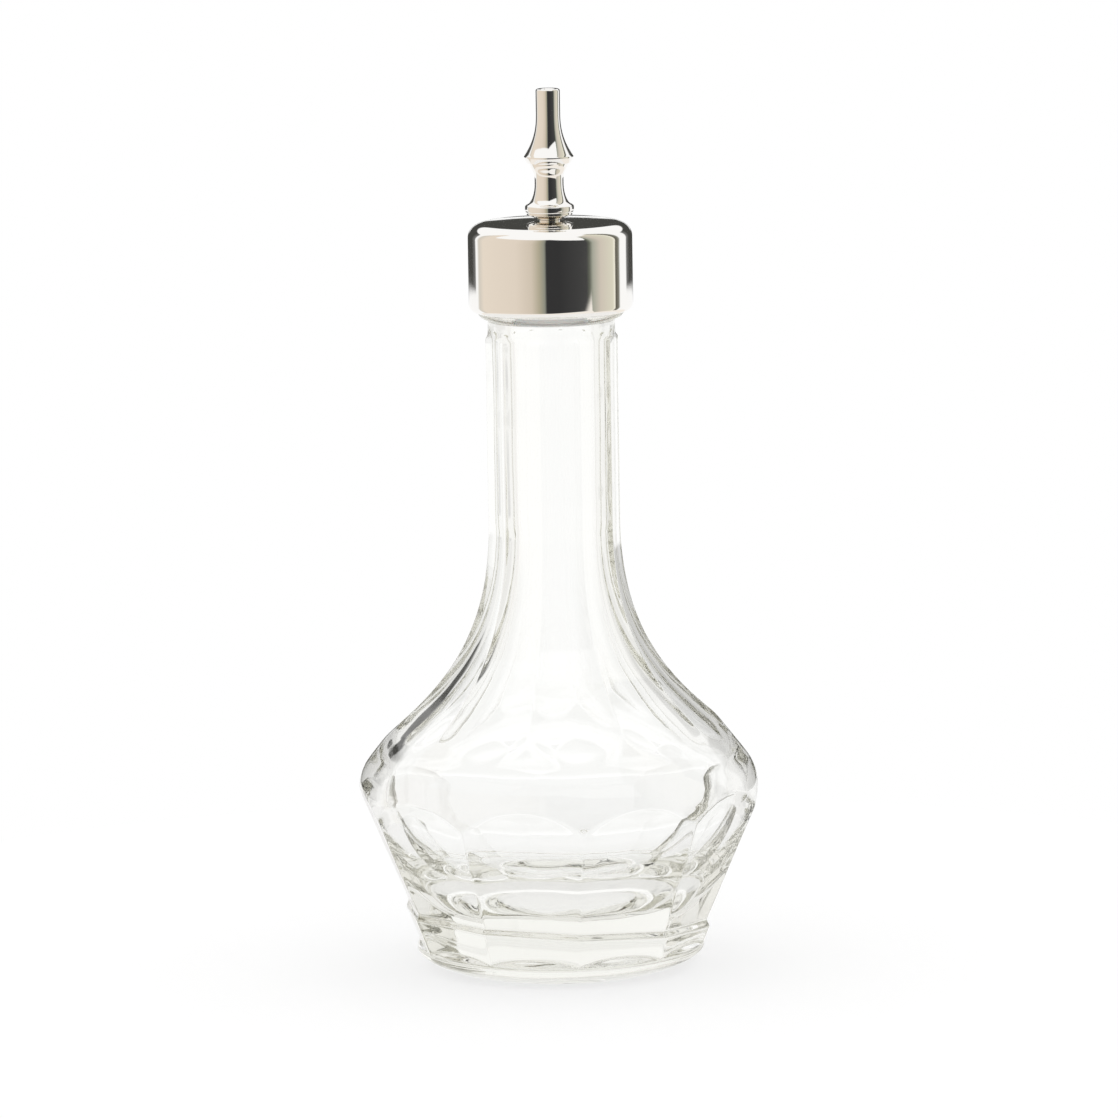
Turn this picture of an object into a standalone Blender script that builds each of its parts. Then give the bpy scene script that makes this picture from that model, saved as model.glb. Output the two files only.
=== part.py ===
# Bitters bottle: a ten-sided clear glass bottle and the dasher top that pushes into its mouth.
# Units are metres, +Z is up, and the origin is the centre of the bottle's foot on the table.
# One edge of the foot's and lower body's panels points along -Y; the panels above are turned half a facet.
import math

import bmesh
import bpy

MM = 0.001

# Fits
GAP = 0.3 * MM
SKIRT_CLEARANCE = 0.85 * MM
STEM_CLEARANCE = 0.9 * MM

# Glass, all round
FACETS = 10
COLUMNS_PER_FACET = 4

# Glass foot
REST_INNER_RADIUS = 15.2 * MM
REST_OUTER_RADIUS = 16.6 * MM
PUNT_HEIGHT = 3.0 * MM
HEEL_RISE = 3.4 * MM
HEEL_POWER = 2.0
SCALLOP_POWER = 1.6
FOOT_RING_HEIGHT = 7.8 * MM
FOOT_RING_STEP = 0.9 * MM
FOOT_RING_PROUD = 0.5 * MM
FOOT_RING_TAPER = math.radians(22.0)

# Glass body
BELT_RADIUS = 31.3 * MM
BELT_HEIGHT = 28.3 * MM
BELT_CROWN_RADIUS = 8.0 * MM
SHOULDER_CONE = math.radians(38.0)
LOWER_PANEL_OVERRUN = 1.14 * MM
LOWER_PANEL_TAPER = math.radians(23.6)

# Glass flare: the corner line of the shoulder panels, from the neck down to the belt's height
FLARE_LENGTH = 41.7 * MM
FLARE_TOP_HANDLE = 26.0 * MM
FLARE_FOOT_OVERRUN = 6.7 * MM
FLARE_FOOT_RISE = 10.7 * MM
FLARE_FOOT_RUN = 10.2 * MM
FLARE_NECK_SHARE = 0.3

# Glass neck and mouth
BORE_RADIUS = 6.5 * MM
NECK_WALL = 3.42 * MM
NECK_LENGTH = 29.4 * MM
PANEL_END_BEVEL = 0.5 * MM
COLLAR_HEIGHT = 2.4 * MM
BEAD_HEIGHT = 2.6 * MM
BEAD_PROUD = 1.55 * MM
LIP_HEIGHT = 6.2 * MM
LIP_ROUNDING = 0.8 * MM

# Glass cavity
BELT_WALL = 2.9 * MM
LOWER_WALL = 3.2 * MM
CAVITY_BLEND = 2.0 * MM
FLOOR_THICKNESS = 10.5 * MM
FLOOR_CORNER_RADIUS = 5.0 * MM
FLOOR_RISE = 4.0 * MM
FLOOR_SHARES = (0.75, 0.5, 0.25)

# Dasher cap shell
SHELL_WALL = 0.6 * MM
SKIRT_FOOT_LIFT = 1.2 * MM
CROWN_CORNER_WIDTH = 2.5 * MM
CROWN_CORNER_HEIGHT = 2.4 * MM
CROWN_DOME = 0.5 * MM
CROWN_SHARES = (0.5, 0.75)
HEM_ROUNDING_WIDTH = 1.05 * MM
HEM_ROUNDING_HEIGHT = 1.2 * MM
HEM_WIDTH = 1.1 * MM
HEM_HEIGHT = 1.2 * MM

# Spout, from its tip down
SPOUT_BORE_RADIUS = 0.9 * MM
TIP_RADIUS = 1.88 * MM
TIP_ROUNDING = 0.3 * MM
TIP_LENGTH = 3.8 * MM
HORN_LENGTH = 6.6 * MM
HORN_FLARE_POWER = 2.4
HORN_SHARES = (0.0, 0.25, 0.45, 0.6, 0.75, 0.88, 1.0)
SPOUT_RING_RADIUS = 3.8 * MM
SPOUT_RING_EDGE = 0.3 * MM
RING_UNDERSIDE_RADIUS = 3.4 * MM
RING_UNDERSIDE_LENGTH = 0.8 * MM
BOWL_RADIUS = 2.95 * MM
BOWL_LENGTH = 2.3 * MM
BOWL_SHARES = (0.0, 0.2, 0.4, 0.6, 0.8, 1.0)
WAIST_RADIUS = 2.24 * MM
WAIST_LENGTH = 1.0 * MM
BULB_RADIUS = 3.8 * MM
BULB_SWELL_LENGTH = 3.3 * MM
BULB_BAND_LENGTH = 1.35 * MM
BULB_UNDERCUT_LENGTH = 0.5 * MM
FOOT_NECK_RADIUS = 2.1 * MM
FOOT_SEAT_WIDTH = 0.6 * MM
FOOT_SEAT_HEIGHT = 0.1 * MM
TAIL_RADIUS = 1.7 * MM
TAIL_PROJECTION = 0.3 * MM

# Fastening under the crown
WASHER_RADIUS = 4.2 * MM
WASHER_THICKNESS = 0.6 * MM
NUT_ACROSS_FLATS = 6.5 * MM
NUT_THICKNESS = 1.6 * MM
NUT_CHAMFER = 0.25 * MM

# Stopper core and seals
FLANGE_THICKNESS = 4.15 * MM
CORE_EDGE_BEVEL = 0.3 * MM
STEM_DEPTH = 8.2 * MM
THROAT_RADIUS = 1.8 * MM
FUNNEL_RADIUS = 3.0 * MM
FUNNEL_DEPTH = 1.2 * MM
LIP_GASKET_THICKNESS = 1.0 * MM
SEAL_SECTION_RADIUS = 0.95 * MM
UPPER_SEAL_DEPTH = 2.1 * MM
SEAL_SPACING = 3.8 * MM

# Places worked out from the sizes above
HALF_FACET = math.pi / FACETS
NECK_FLAT = BORE_RADIUS + NECK_WALL
NECK_CORNER = NECK_FLAT / math.cos(HALF_FACET)
FLARE_TOP = BELT_HEIGHT + FLARE_LENGTH
NECK_TOP = FLARE_TOP + NECK_LENGTH
BEAD_FOOT = NECK_TOP + PANEL_END_BEVEL + COLLAR_HEIGHT
LIP_FOOT = BEAD_FOOT + BEAD_HEIGHT
MOUTH = LIP_FOOT + LIP_HEIGHT
SHELL_INNER_RADIUS = NECK_FLAT + BEAD_PROUD + SKIRT_CLEARANCE
SHELL_RADIUS = SHELL_INNER_RADIUS + SHELL_WALL
SKIRT_FOOT = BEAD_FOOT + SKIRT_FOOT_LIFT
GASKET_FOOT = MOUTH + GAP
FLANGE_FOOT = GASKET_FOOT + LIP_GASKET_THICKNESS + GAP
FLANGE_TOP = FLANGE_FOOT + FLANGE_THICKNESS
CROWN_UNDERSIDE = FLANGE_TOP + GAP
CROWN_TOP = CROWN_UNDERSIDE + SHELL_WALL
CROWN_RIM_RADIUS = SHELL_RADIUS - CROWN_CORNER_WIDTH
TAIL_HOLE_RADIUS = TAIL_RADIUS + GAP
WASHER_DROP = CROWN_DOME * (WASHER_RADIUS / CROWN_RIM_RADIUS) ** 2
WASHER_FOOT = CROWN_UNDERSIDE - WASHER_DROP - GAP - WASHER_THICKNESS
NUT_FOOT = WASHER_FOOT - GAP - NUT_THICKNESS
TAIL_FOOT = NUT_FOOT - TAIL_PROJECTION
SEAL_CENTRE_RADIUS = BORE_RADIUS - GAP - SEAL_SECTION_RADIUS
SEAL_HEIGHTS = (MOUTH - UPPER_SEAL_DEPTH, MOUTH - UPPER_SEAL_DEPTH - SEAL_SPACING)


def arc(centre, radii, start, stop, steps):
    """Points (radius, height) along an ellipse's arc, both ends included; angles in degrees."""
    turns = [math.radians(start + (stop - start) * step / steps) for step in range(steps + 1)]
    return [(centre[0] + radii[0] * math.cos(t), centre[1] + radii[1] * math.sin(t)) for t in turns]


def curve(ends, handles, share):
    """The point at a share of the way along a Bezier curve."""
    weights = ((1 - share) ** 3, 3 * (1 - share) ** 2 * share, 3 * (1 - share) * share ** 2, share ** 3)
    points = (ends[0], handles[0], handles[1], ends[1])
    return tuple(sum(w * p[axis] for w, p in zip(weights, points)) for axis in (0, 1))


def crossing(difference, low, high):
    """Where a falling difference passes zero between low and high."""
    for _ in range(40):
        middle = (low + high) / 2
        if difference(middle) > 0:
            low = middle
        else:
            high = middle
    return (low + high) / 2


def between(low, high, steps):
    """Evenly spaced values strictly between low and high."""
    return [low + (high - low) * step / steps for step in range(1, steps)]


def softer_minimum(first, second, blend):
    """The smaller of two values, with the corner where they cross rounded off."""
    return (first + second - math.hypot(first - second, blend)) / 2


def finish_object(name, bm, colour, roughness, metallic=0.0, transmission=0.0, sharp_degrees=30.0):
    """Turn a bmesh into a named object with its own material and shaded edges."""
    bmesh.ops.recalc_face_normals(bm, faces=bm.faces)
    mesh = bpy.data.meshes.new(name)
    bm.to_mesh(mesh)
    bm.free()
    mesh.shade_smooth()
    mesh.set_sharp_from_angle(angle=math.radians(sharp_degrees))
    material = bpy.data.materials.new(name + "_finish")
    material.use_nodes = True
    shader = material.node_tree.nodes["Principled BSDF"]
    shader.inputs["Base Color"].default_value = (*colour, 1.0)
    shader.inputs["Roughness"].default_value = roughness
    shader.inputs["Metallic"].default_value = metallic
    shader.inputs["Transmission Weight"].default_value = transmission
    mesh.materials.append(material)
    obj = bpy.data.objects.new(name, mesh)
    bpy.context.scene.collection.objects.link(obj)
    return obj


def turned(name, outline, segments, colour, roughness, metallic=0.0):
    """A turned ring: the closed outline (radius, height) spun round the Z axis."""
    bm = bmesh.new()
    verts = [bm.verts.new((radius, 0, height)) for radius, height in outline]
    edges = [bm.edges.new((verts[i - 1], verts[i])) for i in range(len(verts))]
    bmesh.ops.spin(bm, geom=verts + edges, cent=(0, 0, 0), axis=(0, 0, 1),
                   angle=math.tau, steps=segments, use_merge=True)
    return finish_object(name, bm, colour, roughness, metallic)


# Glass bottle: pressed and blown in one piece, panels below, above and on the neck
def panel_radius(corner, turn):
    """Radius of a flat panel at an angle from its middle, from the radius of its corners."""
    return corner * math.cos(HALF_FACET) / math.cos(turn)


def blank_radius(height):
    """Round belt that the panels cut into: a band, a crown arc and a cone up the shoulder."""
    rise = height - BELT_HEIGHT
    if rise <= 0:
        return BELT_RADIUS
    arc_rise = BELT_CROWN_RADIUS * math.sin(SHOULDER_CONE)
    if rise < arc_rise:
        return BELT_RADIUS - BELT_CROWN_RADIUS + math.sqrt(BELT_CROWN_RADIUS ** 2 - rise ** 2)
    arc_drop = BELT_CROWN_RADIUS * (1 - math.cos(SHOULDER_CONE))
    return BELT_RADIUS - arc_drop - (rise - arc_rise) * math.tan(SHOULDER_CONE)


def lower_corner(height):
    """Radius of the lower panels' corner line."""
    return BELT_RADIUS + LOWER_PANEL_OVERRUN - (BELT_HEIGHT - height) * math.tan(LOWER_PANEL_TAPER)


BODY_FOOT = FOOT_RING_HEIGHT + FOOT_RING_STEP
FOOT_RING_CORNER = lower_corner(BODY_FOOT) + FOOT_RING_PROUD


def foot_ring_corner(height):
    """Radius of the foot ring's corner line."""
    return FOOT_RING_CORNER - (FOOT_RING_HEIGHT - height) * math.tan(FOOT_RING_TAPER)


def flare_corner(share):
    """Corner line of the shoulder panels as (radius, height), from the neck at 0 to the belt at 1."""
    foot = (BELT_RADIUS + FLARE_FOOT_OVERRUN, BELT_HEIGHT)
    top_handle = (NECK_CORNER, FLARE_TOP - FLARE_TOP_HANDLE)
    foot_handle = (foot[0] - FLARE_FOOT_RUN, foot[1] + FLARE_FOOT_RISE)
    return curve(((NECK_CORNER, FLARE_TOP), foot), (top_handle, foot_handle), share)


def outer_column(turn):
    """Outer side of the glass at one angle from a lower panel's middle, from the foot up to the lip."""
    upper_turn = turn - HALF_FACET if turn > 0 else turn + HALF_FACET
    heel_width = foot_ring_corner(HEEL_RISE) - REST_OUTER_RADIUS

    def heel(angle):
        power = HEEL_POWER if angle < math.pi / 2 else SCALLOP_POWER
        swell = max(0.0, math.sin(angle)) ** power
        return REST_OUTER_RADIUS + heel_width * swell, HEEL_RISE * (1 - math.cos(angle))

    def heel_over_ring(angle):
        radius, height = heel(angle)
        return radius - panel_radius(foot_ring_corner(height), turn)

    def belt_over_lower(height):
        return blank_radius(height) - panel_radius(lower_corner(height), turn)

    def flare_over_belt(share):
        radius, height = flare_corner(share)
        return blank_radius(height) - panel_radius(radius, upper_turn)

    scallop = crossing(heel_over_ring, math.pi / 2, math.pi)
    arch = crossing(belt_over_lower, BODY_FOOT, BELT_HEIGHT + BELT_CROWN_RADIUS * math.sin(SHOULDER_CONE))
    shoulder = crossing(flare_over_belt, FLARE_NECK_SHARE, 1.0)

    column = [(REST_OUTER_RADIUS, 0)]
    column += [heel(scallop * step / 6) for step in range(1, 7)]
    column.append((panel_radius(FOOT_RING_CORNER, turn), FOOT_RING_HEIGHT))
    column.append((panel_radius(lower_corner(BODY_FOOT), turn), BODY_FOOT))
    column += [(panel_radius(lower_corner(z), turn), z) for z in between(BODY_FOOT, arch, 3)]
    shoulder_height = flare_corner(shoulder)[1]
    column += [(blank_radius(z), z) for z in [arch] + between(arch, shoulder_height, 6)]
    for step in range(12, -1, -1):
        radius, height = flare_corner(shoulder * step / 12)
        column.append((panel_radius(radius, upper_turn), height))
    column.append((panel_radius(NECK_CORNER, upper_turn), NECK_TOP))
    column.append((NECK_FLAT, NECK_TOP + PANEL_END_BEVEL))
    bead_centre = (NECK_FLAT, BEAD_FOOT + BEAD_HEIGHT / 2)
    column += arc(bead_centre, (BEAD_PROUD, BEAD_HEIGHT / 2), -90, 90, 6)
    column += arc((NECK_FLAT - LIP_ROUNDING, MOUTH - LIP_ROUNDING), (LIP_ROUNDING, LIP_ROUNDING), 0, 90, 3)
    return column


def cavity_radius(height):
    """Inside of the glass: it follows the panels at the wall's thickness, with soft corners."""
    share = crossing(lambda s: flare_corner(s)[1] - height, 0.0, 1.0)
    upper = flare_corner(share)[0] * math.cos(HALF_FACET) - NECK_WALL
    lower = lower_corner(height) * math.cos(HALF_FACET) - LOWER_WALL
    belt = BELT_RADIUS - BELT_WALL
    return softer_minimum(softer_minimum(upper, belt, CAVITY_BLEND), lower, CAVITY_BLEND)


def inner_column():
    """Inside of the glass, from the lip down to the middle of the floor, the last point left out."""
    column = arc((BORE_RADIUS + LIP_ROUNDING, MOUTH - LIP_ROUNDING), (LIP_ROUNDING, LIP_ROUNDING), 90, 180, 3)
    column.append((BORE_RADIUS, FLARE_TOP))
    corner_top = FLOOR_THICKNESS + FLOOR_CORNER_RADIUS
    column += [(cavity_radius(z), z) for z in between(FLARE_TOP, BELT_HEIGHT, 12)]
    column += [(cavity_radius(z), z) for z in [BELT_HEIGHT] + between(BELT_HEIGHT, corner_top, 3)]
    floor_radius = cavity_radius(corner_top) - FLOOR_CORNER_RADIUS
    column += arc((floor_radius, corner_top), (FLOOR_CORNER_RADIUS, FLOOR_CORNER_RADIUS), 0, -90, 5)
    for share in FLOOR_SHARES:
        swell = FLOOR_RISE * (1 + math.cos(math.pi * share)) / 2
        column.append((floor_radius * share, FLOOR_THICKNESS + swell))
    return column


def make_glass_bottle():
    """Loft one column of points per angle, and close the loft at the punt and at the floor."""
    punt = arc((0, 0), (REST_INNER_RADIUS, PUNT_HEIGHT), 90, 0, 4)[1:]
    inner = inner_column()
    columns = []
    bm = bmesh.new()
    for index in range(FACETS * COLUMNS_PER_FACET):
        turn = ((index % COLUMNS_PER_FACET) / COLUMNS_PER_FACET * 2 - 1) * HALF_FACET
        angle = index * math.tau / (FACETS * COLUMNS_PER_FACET) - math.pi / 2
        points = punt + outer_column(turn) + inner
        columns.append([bm.verts.new((r * math.cos(angle), r * math.sin(angle), z)) for r, z in points])
    punt_middle = bm.verts.new((0, 0, PUNT_HEIGHT))
    floor_middle = bm.verts.new((0, 0, FLOOR_THICKNESS + FLOOR_RISE))
    for left, right in zip(columns, columns[1:] + columns[:1]):
        bm.faces.new((punt_middle, right[0], left[0]))
        bm.faces.new((floor_middle, left[-1], right[-1]))
        for level in range(len(left) - 1):
            bm.faces.new((left[level], right[level], right[level + 1], left[level + 1]))
    finish_object("glass_bottle", bm, (0.96, 0.97, 0.96), 0.02, transmission=1.0, sharp_degrees=12.0)


# Cap shell: drawn metal cup with a hemmed skirt and a hole for the spout's tail
def make_cap_shell():
    hem_inner = SHELL_RADIUS - HEM_WIDTH
    corner_centre = (CROWN_RIM_RADIUS, CROWN_TOP - CROWN_DOME - CROWN_CORNER_HEIGHT)
    inner_corner = (CROWN_CORNER_WIDTH - SHELL_WALL, CROWN_CORNER_HEIGHT - SHELL_WALL)
    dome = [(CROWN_RIM_RADIUS * share, CROWN_DOME * share ** 2) for share in CROWN_SHARES]
    outline = [(TAIL_HOLE_RADIUS, CROWN_TOP)]
    outline += [(radius, CROWN_TOP - drop) for radius, drop in dome]
    outline += arc(corner_centre, (CROWN_CORNER_WIDTH, CROWN_CORNER_HEIGHT), 90, 0, 6)
    outline += arc((SHELL_RADIUS - HEM_ROUNDING_WIDTH, SKIRT_FOOT + HEM_ROUNDING_HEIGHT),
                   (HEM_ROUNDING_WIDTH, HEM_ROUNDING_HEIGHT), 0, -90, 5)
    outline.append((hem_inner, SKIRT_FOOT))
    outline.append((hem_inner, SKIRT_FOOT + HEM_HEIGHT))
    outline.append((SHELL_INNER_RADIUS, SKIRT_FOOT + HEM_HEIGHT + HEM_WIDTH - SHELL_WALL))
    outline += arc(corner_centre, inner_corner, 0, 90, 4)
    outline += [(radius, CROWN_UNDERSIDE - drop) for radius, drop in reversed(dome)]
    outline.append((TAIL_HOLE_RADIUS, CROWN_UNDERSIDE))
    turned("cap_shell", outline, 48, (0.80, 0.78, 0.75), 0.08, metallic=1.0)


# Dasher spout: turned metal, drilled through, with a tail that passes the crown
def make_dasher_spout():
    seat = CROWN_TOP + GAP
    foot_neck = seat + FOOT_SEAT_HEIGHT
    bulb_foot = foot_neck + BULB_UNDERCUT_LENGTH
    bulb_top = bulb_foot + BULB_BAND_LENGTH
    waist_foot = bulb_top + BULB_SWELL_LENGTH
    waist_top = waist_foot + WAIST_LENGTH
    bowl_top = waist_top + BOWL_LENGTH
    ring_foot = bowl_top + RING_UNDERSIDE_LENGTH
    ring_top = ring_foot + SPOUT_RING_EDGE
    horn_top = ring_top + HORN_LENGTH
    tip = horn_top + TIP_LENGTH
    outline = arc((TIP_RADIUS - TIP_ROUNDING, tip - TIP_ROUNDING), (TIP_ROUNDING, TIP_ROUNDING), 90, 0, 3)
    horn_flare = SPOUT_RING_RADIUS - TIP_RADIUS
    outline += [(TIP_RADIUS + horn_flare * share ** HORN_FLARE_POWER, horn_top - HORN_LENGTH * share)
                for share in HORN_SHARES]
    outline.append((SPOUT_RING_RADIUS, ring_foot))
    outline.append((RING_UNDERSIDE_RADIUS, bowl_top))
    bowl_swell = BOWL_RADIUS - WAIST_RADIUS
    outline += [(WAIST_RADIUS + bowl_swell * (1 + math.cos(math.pi * share)) / 2, bowl_top - BOWL_LENGTH * share)
                for share in BOWL_SHARES]
    outline += arc((BULB_RADIUS, waist_foot), (WAIST_RADIUS - BULB_RADIUS, -BULB_SWELL_LENGTH), 0, 80, 5)
    outline.append((BULB_RADIUS, bulb_top))
    outline.append((BULB_RADIUS, bulb_foot))
    outline.append((FOOT_NECK_RADIUS, foot_neck))
    outline.append((FOOT_NECK_RADIUS + FOOT_SEAT_WIDTH, seat))
    outline.append((TAIL_RADIUS, seat))
    outline.append((TAIL_RADIUS, TAIL_FOOT))
    outline.append((SPOUT_BORE_RADIUS, TAIL_FOOT))
    outline.append((SPOUT_BORE_RADIUS, tip))
    turned("dasher_spout", outline, 24, (0.80, 0.78, 0.75), 0.08, metallic=1.0)


# Washer and nut that hold the spout under the crown
def make_spout_washer():
    top = WASHER_FOOT + WASHER_THICKNESS
    outline = [(TAIL_HOLE_RADIUS, WASHER_FOOT), (WASHER_RADIUS, WASHER_FOOT),
               (WASHER_RADIUS, top), (TAIL_HOLE_RADIUS, top)]
    turned("spout_washer", outline, 24, (0.75, 0.75, 0.73), 0.5)


def make_spout_nut():
    corner = NUT_ACROSS_FLATS / 2 / math.cos(math.pi / 6)
    bm = bmesh.new()
    bmesh.ops.create_cone(bm, cap_ends=True, segments=6, radius1=corner, radius2=corner, depth=NUT_THICKNESS)
    nut = finish_object("spout_nut", bm, (0.78, 0.66, 0.40), 0.3, metallic=1.0)
    nut.location.z = NUT_FOOT + NUT_THICKNESS / 2
    chamfer = nut.modifiers.new("chamfer", "BEVEL")
    chamfer.width = NUT_CHAMFER
    chamfer.segments = 1
    bm = bmesh.new()
    bmesh.ops.create_cone(bm, cap_ends=True, segments=24, radius1=TAIL_HOLE_RADIUS,
                          radius2=TAIL_HOLE_RADIUS, depth=NUT_THICKNESS * 2)
    cutter = finish_object("spout_nut_hole_cutter", bm, (0.5, 0.5, 0.5), 0.5)
    cutter.location = nut.location
    cutter.hide_render = True
    cutter.display_type = "WIRE"
    hole = nut.modifiers.new("hole", "BOOLEAN")
    hole.operation = "DIFFERENCE"
    hole.object = cutter


# Stopper core: moulded plastic that fills the shell and carries the seals on its stem
def make_stopper_core():
    edge = CORE_EDGE_BEVEL
    flange_radius = SHELL_INNER_RADIUS - GAP
    recess_radius = WASHER_RADIUS + GAP
    recess_floor = TAIL_FOOT - GAP
    stem_radius = BORE_RADIUS - STEM_CLEARANCE
    stem_foot = MOUTH - STEM_DEPTH
    groove_radius = SEAL_CENTRE_RADIUS - SEAL_SECTION_RADIUS - GAP
    groove_half = SEAL_SECTION_RADIUS + GAP
    recess_top = FLANGE_TOP - CROWN_DOME * (recess_radius / CROWN_RIM_RADIUS) ** 2
    rim_top = FLANGE_TOP - CROWN_DOME
    outline = [(THROAT_RADIUS, recess_floor), (recess_radius, recess_floor), (recess_radius, recess_top)]
    outline += [(flange_radius - CROWN_CORNER_WIDTH, rim_top), (flange_radius, rim_top - CROWN_CORNER_HEIGHT)]
    outline += [(flange_radius, FLANGE_FOOT + edge), (flange_radius - edge, FLANGE_FOOT)]
    outline.append((stem_radius, FLANGE_FOOT))
    for height in SEAL_HEIGHTS:
        outline += [(stem_radius, height + groove_half), (groove_radius, height + groove_half)]
        outline += [(groove_radius, height - groove_half), (stem_radius, height - groove_half)]
    outline += [(stem_radius, stem_foot + edge), (stem_radius - edge, stem_foot)]
    outline += [(FUNNEL_RADIUS, stem_foot), (THROAT_RADIUS, stem_foot + FUNNEL_DEPTH)]
    turned("stopper_core", outline, 32, (0.88, 0.88, 0.86), 0.35)


# Soft seals: a flat ring on the lip, and two round rings that grip the bore
def make_seals():
    top = GASKET_FOOT + LIP_GASKET_THICKNESS
    inner = BORE_RADIUS - STEM_CLEARANCE + GAP
    outline = [(inner, GASKET_FOOT), (NECK_FLAT, GASKET_FOOT), (NECK_FLAT, top), (inner, top)]
    turned("lip_gasket", outline, 32, (0.90, 0.90, 0.88), 0.6)
    for name, height in zip(("upper_seal_ring", "lower_seal_ring"), SEAL_HEIGHTS):
        section = arc((SEAL_CENTRE_RADIUS, height), (SEAL_SECTION_RADIUS, SEAL_SECTION_RADIUS), 0, 360, 10)
        turned(name, section[:-1], 28, (0.90, 0.90, 0.88), 0.6)


for old in list(bpy.data.objects):
    bpy.data.objects.remove(old, do_unlink=True)
make_glass_bottle()
make_cap_shell()
make_dasher_spout()
make_spout_washer()
make_spout_nut()
make_stopper_core()
make_seals()
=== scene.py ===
"""Bitters bottle: a ten-sided clear glass bottle with a polished metal dasher top that pushes into it."""
import math

import bmesh
import bpy
from mathutils import Matrix, Vector, noise


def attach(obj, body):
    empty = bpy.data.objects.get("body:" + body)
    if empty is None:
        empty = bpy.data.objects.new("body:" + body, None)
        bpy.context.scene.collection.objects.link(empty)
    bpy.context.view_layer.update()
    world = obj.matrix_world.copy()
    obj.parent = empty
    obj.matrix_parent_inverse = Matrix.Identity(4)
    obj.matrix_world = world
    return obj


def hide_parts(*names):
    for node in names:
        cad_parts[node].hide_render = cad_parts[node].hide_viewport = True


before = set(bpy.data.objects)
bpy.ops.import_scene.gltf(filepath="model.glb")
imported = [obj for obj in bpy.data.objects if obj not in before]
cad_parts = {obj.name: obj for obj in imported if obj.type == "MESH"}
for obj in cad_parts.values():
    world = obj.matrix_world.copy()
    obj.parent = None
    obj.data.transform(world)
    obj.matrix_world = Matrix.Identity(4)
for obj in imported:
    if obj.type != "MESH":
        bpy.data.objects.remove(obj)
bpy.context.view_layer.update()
MM = 0.001


# Glass bottle
# One piece of clear glass, pressed and blown in a ten-sided mould and fire polished. The panels cut a
# round belt in arches below and above, the foot ring is scalloped, and the surface keeps the mould's
# slow ripples and fine pits. It stands on the ring round its shallow punt.
FACETS = 10
HALF_FACET = math.pi / FACETS
REST_INNER_RADIUS, REST_OUTER_RADIUS, PUNT_HEIGHT = 15.2 * MM, 16.6 * MM, 3.0 * MM
HEEL_RISE, HEEL_POWER, SCALLOP_POWER = 3.4 * MM, 2.0, 1.6
FOOT_RING_HEIGHT, FOOT_RING_STEP, FOOT_RING_PROUD = 7.8 * MM, 0.9 * MM, 0.5 * MM
FOOT_RING_TAPER, FOOT_RING_LEAN, LEAN_SIDE = math.radians(22.0), 1.4 * MM, math.radians(195)
BELT_RADIUS, BELT_HEIGHT, BELT_CROWN_RADIUS = 31.3 * MM, 28.3 * MM, 8.0 * MM
SHOULDER_CONE, LOWER_PANEL_OVERRUN, LOWER_PANEL_TAPER = math.radians(38.0), 1.14 * MM, math.radians(23.6)
FLARE_LENGTH, FLARE_TOP_HANDLE = 41.7 * MM, 26.0 * MM
FLARE_FOOT_OVERRUN, FLARE_FOOT_RISE, FLARE_FOOT_RUN = 6.7 * MM, 10.7 * MM, 10.2 * MM
BORE_RADIUS, NECK_WALL, NECK_LENGTH = 6.5 * MM, 3.42 * MM, 29.4 * MM
PANEL_END_BEVEL, COLLAR_HEIGHT, BEAD_HEIGHT, BEAD_PROUD = 0.5 * MM, 2.4 * MM, 2.6 * MM, 1.55 * MM
LIP_HEIGHT, LIP_ROUNDING = 6.2 * MM, 0.8 * MM
BELT_WALL, CAVITY_BLEND = 2.9 * MM, 4.0 * MM
FLOOR_THICKNESS, BOWL_TOP, FLOOR_RISE, FLOOR_RISE_RADIUS = 10.5 * MM, 29.0 * MM, 3.5 * MM, 13.0 * MM
UPPER_EDGE_BLEND, LOWER_EDGE_BLEND, RING_EDGE_BLEND = 0.1 * MM, 0.2 * MM, 0.3 * MM
MOULD_ROUNDING, RING_ROUNDING, ARCH_ROUNDING, SHOULDER_ROUNDING = 0.3 * MM, 0.35 * MM, 0.5 * MM, 1.2 * MM
LIP_JOIN_ROUNDING, ROUNDING_LIMIT_SHARE, END_CROWDING_SHARE = 0.1 * MM, 0.42, 0.55
OUTER_RIPPLE, INNER_RIPPLE, FLOOR_RIPPLE = 0.06 * MM, 0.22 * MM, 0.3 * MM
OUTER_RIPPLE_LENGTH, INNER_RIPPLE_LENGTH, FLOOR_RIPPLE_LENGTH = 7 * MM, 9 * MM, 6 * MM
FOOT_CALM, NECK_CALM, MOUTH_CALM, MOUTH_FADE = 2 * MM, 3 * MM, 12 * MM, 8 * MM
RIPPLE_DRAW_SHARE = 0.7
NECK_FLAT = BORE_RADIUS + NECK_WALL
NECK_CORNER = NECK_FLAT / math.cos(HALF_FACET)
FLARE_TOP = BELT_HEIGHT + FLARE_LENGTH
NECK_TOP = FLARE_TOP + NECK_LENGTH
BEAD_FOOT = NECK_TOP + PANEL_END_BEVEL + COLLAR_HEIGHT
LIP_FOOT = BEAD_FOOT + BEAD_HEIGHT
MOUTH = LIP_FOOT + LIP_HEIGHT
BODY_FOOT = FOOT_RING_HEIGHT + FOOT_RING_STEP
BELT_ARC_RISE = BELT_CROWN_RADIUS * math.sin(SHOULDER_CONE)
GLASS_TINT, GLASS_DEPTH_TINT, GLASS_DENSITY = (0.998, 1.0, 0.997), (0.69, 0.68, 0.56), 8.0


def arc(centre, radii, start, stop, steps):
    """Points (radius, height) along an ellipse's arc, both ends included; angles in degrees."""
    turns = [math.radians(start + (stop - start) * step / steps) for step in range(steps + 1)]
    return [(centre[0] + radii[0] * math.cos(t), centre[1] + radii[1] * math.sin(t)) for t in turns]


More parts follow.
